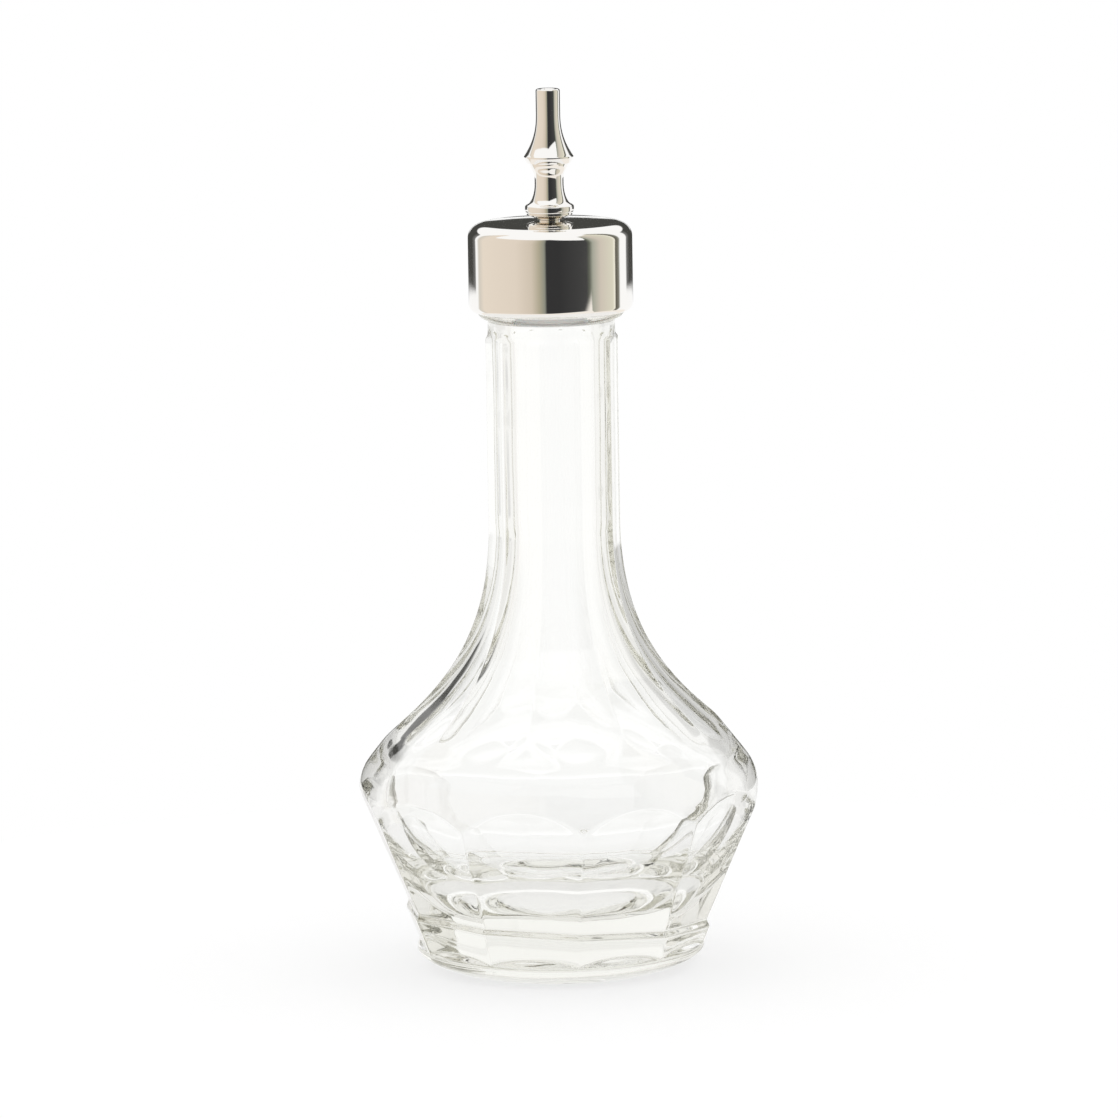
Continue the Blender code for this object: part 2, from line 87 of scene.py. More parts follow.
def crossing(difference, low, high):
    """Where a falling difference passes zero between low and high."""
    for _ in range(40):
        middle = (low + high) / 2
        low, high = (middle, high) if difference(middle) > 0 else (low, middle)
    return (low + high) / 2


def softer_minimum(first, second, blend):
    """The smaller of two lengths, with the corner where they cross rounded off."""
    return (first + second - math.hypot(first - second, blend)) / 2


def panel_radius(corner, turn, blend):
    """Radius of the ten-sided outline at an angle from a panel's middle, its edges softened."""
    flat = corner * math.cos(HALF_FACET)
    return softer_minimum(flat / math.cos(turn), flat / math.cos(2 * HALF_FACET - abs(turn)), blend)


def blank_radius(height):
    """Round belt that the panels cut into: a band, a crown arc and a cone up the shoulder."""
    rise = height - BELT_HEIGHT
    if rise <= 0:
        return BELT_RADIUS
    if rise < BELT_ARC_RISE:
        return BELT_RADIUS - BELT_CROWN_RADIUS + math.sqrt(BELT_CROWN_RADIUS ** 2 - rise ** 2)
    arc_top = BELT_RADIUS - BELT_CROWN_RADIUS * (1 - math.cos(SHOULDER_CONE))
    return arc_top - (rise - BELT_ARC_RISE) * math.tan(SHOULDER_CONE)


def lower_corner(height):
    """Radius of the lower panels' corner line."""
    return BELT_RADIUS + LOWER_PANEL_OVERRUN - (BELT_HEIGHT - height) * math.tan(LOWER_PANEL_TAPER)


def foot_ring_corner(height):
    """Radius of the foot ring's corner line."""
    top = lower_corner(BODY_FOOT) + FOOT_RING_PROUD
    return top - (FOOT_RING_HEIGHT - height) * math.tan(FOOT_RING_TAPER)


def flare_corner(share):
    """Corner line of the shoulder panels as (radius, height), from the neck at 0 to the belt at 1."""
    weights = ((1 - share) ** 3, 3 * (1 - share) ** 2 * share, 3 * (1 - share) * share ** 2, share ** 3)
    foot = (BELT_RADIUS + FLARE_FOOT_OVERRUN, BELT_HEIGHT)
    points = ((NECK_CORNER, FLARE_TOP), (NECK_CORNER, FLARE_TOP - FLARE_TOP_HANDLE),
              (foot[0] - FLARE_FOOT_RUN, foot[1] + FLARE_FOOT_RISE), foot)
    return tuple(sum(w * p[axis] for w, p in zip(weights, points)) for axis in (0, 1))


def along(run, distance):
    """The point at a distance along a line of points."""
    for start, end in zip(run, run[1:]):
        length = math.dist(start, end)
        if distance <= length and length > 0:
            share = distance / length
            return tuple(a + (b - a) * share for a, b in zip(start, end))
        distance -= length
    return run[-1]


def rounded(leave, corner, arrive, shares):
    """Points of the curve that rounds a corner off, at shares of its way."""
    axes = list(zip(leave, corner, arrive))
    return [tuple(a * (1 - t) ** 2 + 2 * b * t * (1 - t) + c * t * t for a, b, c in axes) for t in shares]


def eased_column(runs):
    """One line of points from runs of (points, steps, rounding at the upper end), closer at the joins."""
    lengths = [sum(math.dist(a, b) for a, b in zip(points, points[1:])) for points, _, _ in runs]
    cuts = [min(rounding, ROUNDING_LIMIT_SHARE * below, ROUNDING_LIMIT_SHARE * above)
            for (_, _, rounding), below, above in zip(runs, lengths, lengths[1:])]
    cuts = [0.0] + cuts + [0.0]
    column = []
    for index, ((points, steps, _), length) in enumerate(zip(runs, lengths)):
        start, span = cuts[index], length - cuts[index] - cuts[index + 1]
        for step in range(steps + 1):
            even, crowded = step / steps, (1 - math.cos(math.pi * step / steps)) / 2
            share = even + (crowded - even) * END_CROWDING_SHARE
            column.append(along(points, start + span * share))
        if index < len(runs) - 1:
            arrive = along(runs[index + 1][0], cuts[index + 1])
            column += rounded(column[-1], points[-1], arrive, (0.25, 0.5, 0.75))
    return column


def outer_column(turn, angle):
    """Outside of the glass at one angle, from the foot up to the lip's outer rounding."""
    upper_turn = turn - HALF_FACET if turn > 0 else turn + HALF_FACET
    ring_top = FOOT_RING_HEIGHT + FOOT_RING_LEAN * math.cos(angle - LEAN_SIDE)
    body_foot = ring_top + FOOT_RING_STEP
    heel_width = foot_ring_corner(HEEL_RISE) - REST_OUTER_RADIUS

    def heel(t):
        swell = max(0.0, math.sin(t)) ** (HEEL_POWER if t < math.pi / 2 else SCALLOP_POWER)
        return REST_OUTER_RADIUS + heel_width * swell, HEEL_RISE * (1 - math.cos(t))

    def ring(height):
        return panel_radius(foot_ring_corner(height), turn, RING_EDGE_BLEND), height

    def lower(height):
        return panel_radius(lower_corner(height), turn, LOWER_EDGE_BLEND), height

    def belt(height):
        return blank_radius(height), height

    def upper(corner, height):
        return panel_radius(corner, upper_turn, UPPER_EDGE_BLEND), height

    scallop = crossing(lambda t: heel(t)[0] - ring(heel(t)[1])[0], math.pi / 2, math.pi)
    scallop_top = heel(scallop)[1]
    arch = crossing(lambda z: blank_radius(z) - lower(z)[0], BODY_FOOT, BELT_HEIGHT + BELT_ARC_RISE)
    shoulder = crossing(lambda s: blank_radius(flare_corner(s)[1]) - upper(*flare_corner(s))[0], 0.3, 1.0)
    band = flare_corner(shoulder)[1] - arch
    neck_top, collar_foot = upper(NECK_CORNER, NECK_TOP), (NECK_FLAT, NECK_TOP + PANEL_END_BEVEL)
    bead_middle, lip_shoulder = (NECK_FLAT, BEAD_FOOT + BEAD_HEIGHT / 2), (NECK_FLAT, MOUTH - LIP_ROUNDING)
    lip_centre = (NECK_FLAT - LIP_ROUNDING, MOUTH - LIP_ROUNDING)
    return eased_column([
        ([heel(scallop * step / 40) for step in range(41)], 9, MOULD_ROUNDING),
        ([ring(scallop_top), ring(ring_top)], 5, RING_ROUNDING),
        ([ring(ring_top), lower(body_foot)], 1, RING_ROUNDING),
        ([lower(body_foot), lower(arch)], 14, ARCH_ROUNDING),
        ([belt(arch + band * step / 60) for step in range(61)], 16, SHOULDER_ROUNDING),
        ([upper(*flare_corner(shoulder * (1 - step / 60))) for step in range(61)] + [neck_top], 56,
         MOULD_ROUNDING),
        ([neck_top, collar_foot], 2, MOULD_ROUNDING),
        ([collar_foot, (NECK_FLAT, BEAD_FOOT)], 3, MOULD_ROUNDING),
        (arc(bead_middle, (BEAD_PROUD, BEAD_HEIGHT / 2), -90, 90, 24), 10, MOULD_ROUNDING),
        ([(NECK_FLAT, LIP_FOOT), lip_shoulder], 4, LIP_JOIN_ROUNDING),
        (arc(lip_centre, (LIP_ROUNDING, LIP_ROUNDING), 0, 90, 12), 5, 0.0),
    ])


def cavity_radius(height):
    """Inside of the glass above its bowl: a wall in from the panels, blended into the belt's."""
    share = crossing(lambda s: flare_corner(s)[1] - height, 0.0, 1.0)
    upper = flare_corner(share)[0] * math.cos(HALF_FACET) - NECK_WALL
    return softer_minimum(upper, BELT_RADIUS - BELT_WALL, CAVITY_BLEND)


def inner_column():
    """Inside of the glass, from the lip's inner rounding down to the middle of the floor."""
    lip_centre = (BORE_RADIUS + LIP_ROUNDING, MOUTH - LIP_ROUNDING)
    column = arc(lip_centre, (LIP_ROUNDING, LIP_ROUNDING), 90, 180, 5)
    column += [(BORE_RADIUS, MOUTH + (FLARE_TOP - MOUTH) * step / 16) for step in range(1, 17)]
    heights = [FLARE_TOP + (BOWL_TOP - FLARE_TOP) * step / 36 for step in range(1, 37)]
    column += [(cavity_radius(z), z) for z in heights]
    bowl_size = (cavity_radius(BOWL_TOP), BOWL_TOP - FLOOR_THICKNESS)
    for r, z in arc((0, BOWL_TOP), bowl_size, 0, -90, 36)[1:-1]:
        rise = FLOOR_RISE * (1 + math.cos(math.pi * min(1.0, r / FLOOR_RISE_RADIUS))) / 2
        column.append((r, z + rise))
    return column


def rippled(radius, angle, height, depth, length):
    """A radius eased inward by the slow unevenness that the mould and the blowing leave."""
    point = Vector((radius * math.cos(angle), radius * math.sin(angle), height * RIPPLE_DRAW_SHARE))
    return radius - depth * (0.5 + 0.5 * noise.noise(point / length))


def bottle_column(turn, angle, inner):
    """The points (radius, height) at one angle, from the punt up, over the lip and down to the floor."""
    column = arc((0, 0), (REST_INNER_RADIUS, PUNT_HEIGHT), 90, 0, 10)[1:]
    for r, z in outer_column(turn, angle):
        calm = min(1.0, z / FOOT_CALM) * min(1.0, max(0.0, (NECK_TOP - z) / NECK_CALM))
        column.append((rippled(r, angle, z, OUTER_RIPPLE * calm, OUTER_RIPPLE_LENGTH), z))
    for r, z in inner:
        calm = min(1.0, max(0.0, (MOUTH - MOUTH_CALM - z) / MOUTH_FADE))
        lump = noise.noise(Vector((r * math.cos(angle), r * math.sin(angle), z)) / FLOOR_RIPPLE_LENGTH)
        low = max(0.0, 1 - (z - FLOOR_THICKNESS) / FLOOR_RIPPLE_LENGTH) * min(1.0, r / FLOOR_RIPPLE_LENGTH)
        column.append((rippled(r, angle, z, INNER_RIPPLE * calm, INNER_RIPPLE_LENGTH),
                       z + FLOOR_RIPPLE * low * lump))
    return column


def make_bottle_mesh():
    """Loft one column of points per angle, closer at the panel edges, and close it at both floors."""
    half = 180 / FACETS
    from_edge = (0.0, 0.25, 0.6, 1.2, 2.4, 4.5, 7.0)
    degrees = {a for d in from_edge for a in (d, half - d, half + d, 2 * half - d)} | {half / 2, half * 1.5}
    bm, columns, inner = bmesh.new(), [], inner_column()
    for facet in range(FACETS):
        for degree in sorted(degrees)[:-1]:
            turn = math.radians(degree - half)
            angle = facet * 2 * HALF_FACET + math.radians(degree) - math.pi / 2
            line = bottle_column(turn, angle, inner)
            columns.append([bm.verts.new((r * math.cos(angle), r * math.sin(angle), z)) for r, z in line])
    punt_middle = bm.verts.new((0, 0, PUNT_HEIGHT))
    floor_middle = bm.verts.new((0, 0, FLOOR_THICKNESS + FLOOR_RISE))
    for left, right in zip(columns, columns[1:] + columns[:1]):
        bm.faces.new((punt_middle, right[0], left[0]))
        bm.faces.new((floor_middle, left[-1], right[-1]))
        for level in range(len(left) - 1):
            bm.faces.new((left[level], right[level], right[level + 1], left[level + 1]))
    return bm


def placed(name, bm, node, body):
    """A finished mesh as a smooth piece that stands for a node and rides on its body."""
    bmesh.ops.recalc_face_normals(bm, faces=bm.faces)
    mesh = bpy.data.meshes.new(name)
    bm.to_mesh(mesh)
    bm.free()
    mesh.shade_smooth()
    piece = bpy.data.objects.new(name, mesh)
    bpy.context.scene.collection.objects.link(piece)
    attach(piece, body)
    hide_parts(node)
    return piece


class Wire:
    """A shader value. Python's signs on it add Math nodes, and node() adds any other node."""

    def __init__(self, socket):
        self.socket = socket

    def node(self, kind, settings=None, inputs=None, out=0):
        tree = self.socket.id_data
        made = tree.nodes.new(kind)
        for name, value in (settings or {}).items():
            if name == "stops":
                while len(made.color_ramp.elements) < len(value):
                    made.color_ramp.elements.new(0.5)
                for stop, (place, colour) in zip(made.color_ramp.elements, value):
                    stop.position = place
                    stop.color = (*colour, 1.0) if isinstance(colour, tuple) else (*[colour] * 3, 1.0)
            else:
                setattr(made, name, value)
        for name, value in (inputs or {}).items():
            if isinstance(value, Wire):
                tree.links.new(value.socket, made.inputs[name])
            else:
                made.inputs[name].default_value = value
        return Wire(made.outputs[out])

    def maths(self, operation, first, second=0.0):
        return self.node("ShaderNodeMath", {"operation": operation}, {0: first, 1: second})

    def __add__(self, other):
        return self.maths("ADD", self, other)

    def __sub__(self, other):
        return self.maths("SUBTRACT", self, other)

    def __rsub__(self, other):
        return self.maths("SUBTRACT", other, self)

    def __mul__(self, other):
        return self.maths("MULTIPLY", self, other)

    __radd__, __rmul__ = __add__, __mul__

    def noise(self, scale, detail=2.0, stretch=(1, 1, 1)):
        """Soft noise with so many waves to the metre."""
        place = self.node("ShaderNodeMapping", None, {"Vector": self, "Scale": stretch})
        return self.node("ShaderNodeTexNoise", None, {"Vector": place, "Scale": scale, "Detail": detail})

    def ramp(self, *stops):
        """The value through a ramp of stops (place, value or colour)."""
        return self.node("ShaderNodeValToRGB", {"stops": stops}, {0: self})


def finish(name, **constants):
    """A new material with constants set: it, its shader, and a wire on the piece's own place."""
    material = bpy.data.materials.new(name)
    material.use_nodes = True
    tree = material.node_tree
    shader = tree.nodes["Principled BSDF"]
    for socket, value in constants.items():
        shader.inputs[socket.replace("_", " ")].default_value = value
    return material, shader, Wire(tree.nodes.new("ShaderNodeTexCoord").outputs["Object"])


def wire_up(shader, **values):
    """Link wires to the shader's sockets."""
    for socket, value in values.items():
        shader.id_data.links.new(value.socket, shader.inputs[socket.replace("_", " ")])


def bumped(height, distance):
    """A normal from a height wire, its full height so many metres."""
    return height.node("ShaderNodeBump", None, {"Height": height, "Distance": distance, "Strength": 1.0})


clear_glass, shader, place = finish("clear_glass", Transmission_Weight=1.0, IOR=1.5,
                                    Base_Color=(*GLASS_TINT, 1.0))
ripple = place.noise(130, 2.0, (1, 1, 0.6))
pits = place.noise(1500, 1.0)
smudge = place.noise(45, 3.0)
wire_up(shader, Normal=bumped(ripple + pits * 0.008, 0.08 * MM),
        Roughness=smudge.ramp((0.35, 0.0), (0.75, 0.012)))
inside = place.node("ShaderNodeVolumeAbsorption", None,
                    {"Color": (*GLASS_DEPTH_TINT, 1.0), "Density": GLASS_DENSITY})
output = clear_glass.node_tree.nodes["Material Output"]
clear_glass.node_tree.links.new(inside.socket, output.inputs["Volume"])
bottle = placed("bottle_glass", make_bottle_mesh(), "glass_bottle", "bottle")
bottle.data.materials.append(clear_glass)


# Cap shell
# A cup drawn from sheet metal, its crown's edge rounded and its skirt hemmed, then polished and plated.
# It grips the stopper core inside it and covers the lip and half of the bead.
GAP, SKIRT_CLEARANCE, SHELL_WALL, SKIRT_FOOT_LIFT = 0.3 * MM, 0.72 * MM, 0.6 * MM, 1.2 * MM
CROWN_CORNER_WIDTH, CROWN_CORNER_HEIGHT, CROWN_DOME = 2.5 * MM, 2.2 * MM, 0.5 * MM
HEM_ROUNDING_WIDTH, HEM_ROUNDING_HEIGHT, HEM_WIDTH, HEM_HEIGHT = 1.05 * MM, 1.2 * MM, 1.1 * MM, 1.2 * MM
HEM_EDGE, LIP_GASKET_THICKNESS, FLANGE_THICKNESS, TAIL_RADIUS = 0.1 * MM, 1.0 * MM, 4.15 * MM, 1.7 * MM
SHELL_INNER_RADIUS = NECK_FLAT + BEAD_PROUD + SKIRT_CLEARANCE
SHELL_RADIUS = SHELL_INNER_RADIUS + SHELL_WALL
SKIRT_FOOT = BEAD_FOOT + SKIRT_FOOT_LIFT
GASKET_FOOT = MOUTH + GAP
FLANGE_FOOT = GASKET_FOOT + LIP_GASKET_THICKNESS + GAP
FLANGE_TOP = FLANGE_FOOT + FLANGE_THICKNESS
CROWN_UNDERSIDE = FLANGE_TOP + GAP
CROWN_TOP = CROWN_UNDERSIDE + SHELL_WALL
METAL = (0.95, 0.935, 0.91)
SHELL_CREASE = math.radians(40)


def turned(outline, segments):
    """A closed outline (radius, height) turned round the bottle's axis."""
    bm = bmesh.new()
    rings = []
    for step in range(segments):
        c, s = math.cos(step * math.tau / segments), math.sin(step * math.tau / segments)
        rings.append([bm.verts.new((r * c, r * s, z)) for r, z in outline])
    for left, right in zip(rings, rings[1:] + rings[:1]):
        for i in range(len(outline)):
            bm.faces.new((left[i - 1], right[i - 1], right[i], left[i]))
    return bm


def polished(name, wave, scratch):
    """Polished plate: slow waves from the wheel, hair scratches round the axis and faint finger marks."""
    material, shader, place = finish(name, Metallic=1.0, Base_Color=(*METAL, 1.0))
    slow = place.noise(260, 1.0)
    hair = place.noise(700, 3.0, (1, 1, 14))
    marks = place.noise(180, 4.0)
    wire_up(shader, Normal=bumped(slow * wave + hair * scratch, 1 * MM),
            Roughness=marks.ramp((0.4, 0.03), (0.8, 0.075)) + hair * 0.02)
    return material


tail_hole = TAIL_RADIUS + GAP
hem_inner = SHELL_RADIUS - HEM_WIDTH
crown_rim = SHELL_RADIUS - CROWN_CORNER_WIDTH
corner_centre = (crown_rim, CROWN_TOP - CROWN_DOME - CROWN_CORNER_HEIGHT)
inner_corner = (CROWN_CORNER_WIDTH - SHELL_WALL, CROWN_CORNER_HEIGHT - SHELL_WALL)
dome = [(crown_rim * share, CROWN_DOME * share ** 2) for share in (0.3, 0.4, 0.5, 0.6, 0.7, 0.8, 0.9)]
shell_outline = [(tail_hole, CROWN_TOP)] + [(r, CROWN_TOP - drop) for r, drop in dome]
shell_outline += arc(corner_centre, (CROWN_CORNER_WIDTH, CROWN_CORNER_HEIGHT), 87, 0, 14)
skirt_length = CROWN_TOP - SKIRT_FOOT
shell_outline += [(SHELL_RADIUS, SKIRT_FOOT + skirt_length * share) for share in (0.7, 0.5, 0.35)]
shell_outline += arc((SHELL_RADIUS - HEM_ROUNDING_WIDTH, SKIRT_FOOT + HEM_ROUNDING_HEIGHT),
                     (HEM_ROUNDING_WIDTH, HEM_ROUNDING_HEIGHT), 0, -90, 12)
shell_outline += [(hem_inner, SKIRT_FOOT + HEM_EDGE), (hem_inner, SKIRT_FOOT + HEM_HEIGHT),
                  (SHELL_INNER_RADIUS, SKIRT_FOOT + HEM_HEIGHT + HEM_WIDTH - SHELL_WALL)]
shell_outline += arc(corner_centre, inner_corner, 0, 90, 6)
shell_outline += [(r, CROWN_UNDERSIDE - drop) for r, drop in reversed(dome)]
shell_outline += [(tail_hole, CROWN_UNDERSIDE)]
shell = placed("drawn_cap_shell", turned(shell_outline, 128), "cap_shell", "dasher_top")
shell.data.set_sharp_from_angle(angle=SHELL_CREASE)
shell.data.materials.append(polished("polished_shell", 0.004, 0.0004))


# Dasher spout
# Turned from a metal rod, drilled through and polished: a bulb, a waist, a small bowl under a sharp ring,
# a horn and a plain tip. Its tail passes the crown and is clamped by the nut under it.
SPOUT_BORE_RADIUS, TIP_RADIUS, TIP_ROUNDING, TIP_LENGTH = 0.9 * MM, 1.88 * MM, 0.3 * MM, 3.8 * MM
BORE_SINK, BORE_EDGE_WIDTH, BORE_EDGE_DROP = 0.35 * MM, 0.3 * MM, 0.06 * MM
HORN_LENGTH, HORN_FLARE_POWER = 6.6 * MM, 2.4
SPOUT_RING_RADIUS, SPOUT_RING_EDGE, SPOUT_RING_SWELL = 3.8 * MM, 0.3 * MM, 0.04 * MM
RING_UNDERSIDE_RADIUS, RING_UNDERSIDE_LENGTH = 3.4 * MM, 0.8 * MM
BOWL_RADIUS, BOWL_LENGTH, WAIST_RADIUS, WAIST_LENGTH = 2.95 * MM, 2.3 * MM, 2.24 * MM, 1.0 * MM
BULB_RADIUS, BULB_SWELL_LENGTH, BULB_BAND_LENGTH = 3.8 * MM, 3.3 * MM, 1.1 * MM
BULB_TOP_ROUNDING, BULB_FOOT_ROUNDING, BULB_UNDERCUT_LENGTH = 0.25 * MM, 0.3 * MM, 0.75 * MM
FOOT_NECK_RADIUS, FOOT_SEAT_WIDTH, FOOT_SEAT_HEIGHT = 1.85 * MM, 0.6 * MM, 0.1 * MM
FOOT_FILLET_WIDTH, FOOT_FILLET_HEIGHT = 0.35 * MM, 0.05 * MM
WASHER_RADIUS, WASHER_THICKNESS, NUT_THICKNESS, TAIL_PROJECTION = 4.2 * MM, 0.6 * MM, 1.6 * MM, 0.3 * MM
TIP_RING_SHARE, SPOUT_CREASE = 0.4, math.radians(35)
WASHER_DROP = CROWN_DOME * (WASHER_RADIUS / crown_rim) ** 2
TAIL_FOOT = CROWN_UNDERSIDE - WASHER_DROP - 2 * GAP - WASHER_THICKNESS - NUT_THICKNESS - TAIL_PROJECTION
seat = CROWN_TOP + GAP
foot_neck = seat + FOOT_SEAT_HEIGHT
bulb_foot = foot_neck + BULB_UNDERCUT_LENGTH
bulb_top = bulb_foot + BULB_BAND_LENGTH
waist_foot = bulb_top + BULB_SWELL_LENGTH
waist_top = waist_foot + WAIST_LENGTH
bowl_top = waist_top + BOWL_LENGTH
ring_foot = bowl_top + RING_UNDERSIDE_LENGTH
ring_top = ring_foot + SPOUT_RING_EDGE
horn_top = ring_top + HORN_LENGTH
tip = horn_top + TIP_LENGTH
horn_flare, bowl_flare = SPOUT_RING_RADIUS - TIP_RADIUS, BOWL_RADIUS - WAIST_RADIUS
spout_outline = [(SPOUT_BORE_RADIUS, tip - BORE_SINK),
                 (SPOUT_BORE_RADIUS + BORE_EDGE_WIDTH, tip - BORE_EDGE_DROP)]
spout_outline += arc((TIP_RADIUS - TIP_ROUNDING, tip - TIP_ROUNDING),
                     (TIP_ROUNDING, TIP_ROUNDING), 90, 0, 6)
spout_outline += [(TIP_RADIUS, horn_top + TIP_LENGTH * TIP_RING_SHARE)]
spout_outline += [(TIP_RADIUS + horn_flare * (step / 22) ** HORN_FLARE_POWER,
                   horn_top - HORN_LENGTH * step / 22) for step in range(23)]
spout_outline += arc((SPOUT_RING_RADIUS, ring_foot + SPOUT_RING_EDGE / 2),
                     (SPOUT_RING_SWELL, SPOUT_RING_EDGE / 2), 60, -60, 3)
spout_outline += [(RING_UNDERSIDE_RADIUS, bowl_top)]
spout_outline += [(WAIST_RADIUS + bowl_flare * (1 + math.cos(math.pi * step / 14)) / 2,
                   bowl_top - BOWL_LENGTH * step / 14) for step in range(15)]
spout_outline += arc((BULB_RADIUS, waist_foot), (WAIST_RADIUS - BULB_RADIUS, -BULB_SWELL_LENGTH), 0, 82, 14)
spout_outline += arc((BULB_RADIUS - BULB_TOP_ROUNDING, bulb_top - BULB_TOP_ROUNDING),
                     (BULB_TOP_ROUNDING, BULB_TOP_ROUNDING), 40, 0, 3)
spout_outline += arc((BULB_RADIUS - BULB_FOOT_ROUNDING, bulb_foot + BULB_FOOT_ROUNDING),
                     (BULB_FOOT_ROUNDING, BULB_FOOT_ROUNDING), 0, -60, 4)
spout_outline += arc((FOOT_NECK_RADIUS, bulb_foot),
                     (BULB_RADIUS - FOOT_NECK_RADIUS, BULB_UNDERCUT_LENGTH), -25, -80, 6)
spout_outline += [(FOOT_NECK_RADIUS, foot_neck),
                  (FOOT_NECK_RADIUS + FOOT_FILLET_WIDTH, seat + FOOT_FILLET_HEIGHT),
                  (FOOT_NECK_RADIUS + FOOT_SEAT_WIDTH, seat), (TAIL_RADIUS, seat), (TAIL_RADIUS, TAIL_FOOT),
                  (SPOUT_BORE_RADIUS, TAIL_FOOT)]
spout = placed("turned_spout", turned(spout_outline, 96), "dasher_spout", "dasher_top")
spout.data.set_sharp_from_angle(angle=SPOUT_CREASE)
spout.data.materials.append(polished("polished_spout", 0.001, 0.0003))


# Spout washer and nut
# A flat fibre washer and a small brass nut with a bevelled rim, which clamp the spout under the crown.
# Both are bought parts and stay out of sight inside the core's recess.
FIBRE_DARK, FIBRE_PALE = (0.62, 0.60, 0.55), (0.80, 0.79, 0.75)
BRASS_DARK, BRASS_PALE = (0.72, 0.55, 0.28), (0.83, 0.68, 0.40)
washer_fibre, shader, place = finish("washer_fibre", Roughness=0.8)
wire_up(shader, Base_Color=place.noise(900, 4.0).ramp((0.3, FIBRE_DARK), (0.7, FIBRE_PALE)),
        Normal=bumped(place.noise(2500, 3.0), 0.02 * MM))
nut_brass, shader, place = finish("nut_brass", Metallic=1.0)
wire_up(shader, Base_Color=place.noise(500, 3.0).ramp((0.3, BRASS_DARK), (0.7, BRASS_PALE)),
        Roughness=place.noise(1200, 2.0, (1, 1, 6)).ramp((0.3, 0.22), (0.7, 0.38)),
        Normal=bumped(place.noise(1500, 2.0, (1, 1, 8)), 0.005 * MM))
for node, material in (("spout_washer", washer_fibre), ("spout_nut", nut_brass)):
    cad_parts[node].material_slots[0].material = material


# Stopper core
# Moulded in a milky plastic. Its flange fills the shell above the lip, its stem carries two grooves for
# the seals, and the throat up its middle leads the drops from a funnel to the spout.
STEM_CLEARANCE, STEM_DEPTH = 0.9 * MM, 8.2 * MM
THROAT_RADIUS, FUNNEL_RADIUS, FUNNEL_DEPTH = 1.8 * MM, 3.0 * MM, 1.2 * MM
SEAL_SECTION_RADIUS, UPPER_SEAL_DEPTH, SEAL_SPACING = 0.95 * MM, 2.1 * MM, 3.8 * MM
GROOVE_EDGE, LAND_EDGE, STEM_ROOT_EDGE = 0.1 * MM, 0.12 * MM, 0.15 * MM
FUNNEL_EDGE, FLANGE_EDGE, STEM_FOOT_EDGE = 0.2 * MM, 0.3 * MM, 0.35 * MM
SEAL_CENTRE_RADIUS = BORE_RADIUS - GAP - SEAL_SECTION_RADIUS
SEAL_HEIGHTS = (MOUTH - UPPER_SEAL_DEPTH, MOUTH - UPPER_SEAL_DEPTH - SEAL_SPACING)
CORE_CREASE = math.radians(35)
MILKY_DARK, MILKY_PALE, PAINTED_GLOW = (0.72, 0.72, 0.69), (0.78, 0.78, 0.76), (0.95, 0.95, 0.93)


def eased_outline(corners):
    """A closed outline from corners (radius, height, rounding); a rounding of 0 keeps one sharp."""
    points = [corner[:2] for corner in corners]
    out = []
    for i, point in enumerate(points):
        rounding = corners[i][2]
        if rounding == 0:
            out.append(point)
            continue
        ends = (points[i - 1], points[(i + 1) % len(points)])
        leave, arrive = [along([point, end], rounding) for end in ends]
        out += rounded(leave, point, arrive, (0.0, 0.2, 0.4, 0.6, 0.8, 1.0))
    return out


flange_radius = SHELL_INNER_RADIUS - GAP
stem_radius, stem_foot = BORE_RADIUS - STEM_CLEARANCE, MOUTH - STEM_DEPTH
groove_radius, groove_half = SEAL_CENTRE_RADIUS - SEAL_SECTION_RADIUS - GAP, SEAL_SECTION_RADIUS + GAP
recess_radius, recess_floor = WASHER_RADIUS + GAP, TAIL_FOOT - GAP
recess_top, rim_top = FLANGE_TOP - CROWN_DOME * (recess_radius / crown_rim) ** 2, FLANGE_TOP - CROWN_DOME
corners = [(THROAT_RADIUS, recess_floor, 0.0), (recess_radius, recess_floor, GROOVE_EDGE),
           (recess_radius, recess_top, GROOVE_EDGE),
           (flange_radius - CROWN_CORNER_WIDTH, rim_top, FLANGE_EDGE),
           (flange_radius, rim_top - CROWN_CORNER_HEIGHT, FLANGE_EDGE),
           (flange_radius, FLANGE_FOOT, FLANGE_EDGE), (stem_radius, FLANGE_FOOT, STEM_ROOT_EDGE)]
for seal_height in SEAL_HEIGHTS:
    groove_top, groove_foot = seal_height + groove_half, seal_height - groove_half
    corners += [(stem_radius, groove_top, LAND_EDGE), (groove_radius, groove_top, GROOVE_EDGE),
                (groove_radius, groove_foot, GROOVE_EDGE), (stem_radius, groove_foot, LAND_EDGE)]
corners += [(stem_radius, stem_foot, STEM_FOOT_EDGE), (FUNNEL_RADIUS, stem_foot, FUNNEL_EDGE),
            (THROAT_RADIUS, stem_foot + FUNNEL_DEPTH, FUNNEL_EDGE)]
core_mesh = turned(eased_outline(corners), 72)
core = placed("moulded_core", core_mesh, "stopper_core", "dasher_top")
core.data.set_sharp_from_angle(angle=CORE_CREASE)
# The core also glows faintly. This painted glow lifts the stem, which the cap shades from above, towards
# white.
core_plastic, shader, place = finish("core_plastic", Subsurface_Weight=0.15, IOR=1.46,
                                     Emission_Color=(*PAINTED_GLOW, 1.0), Emission_Strength=0.22)
wire_up(shader, Base_Color=place.noise(220, 3.0).ramp((0.3, MILKY_DARK), (0.7, MILKY_PALE)),
        Roughness=place.noise(600, 2.0).ramp((0.3, 0.3), (0.7, 0.42)),
        Normal=bumped(place.noise(2200, 2.0), 0.006 * MM))
core.data.materials.append(core_plastic)


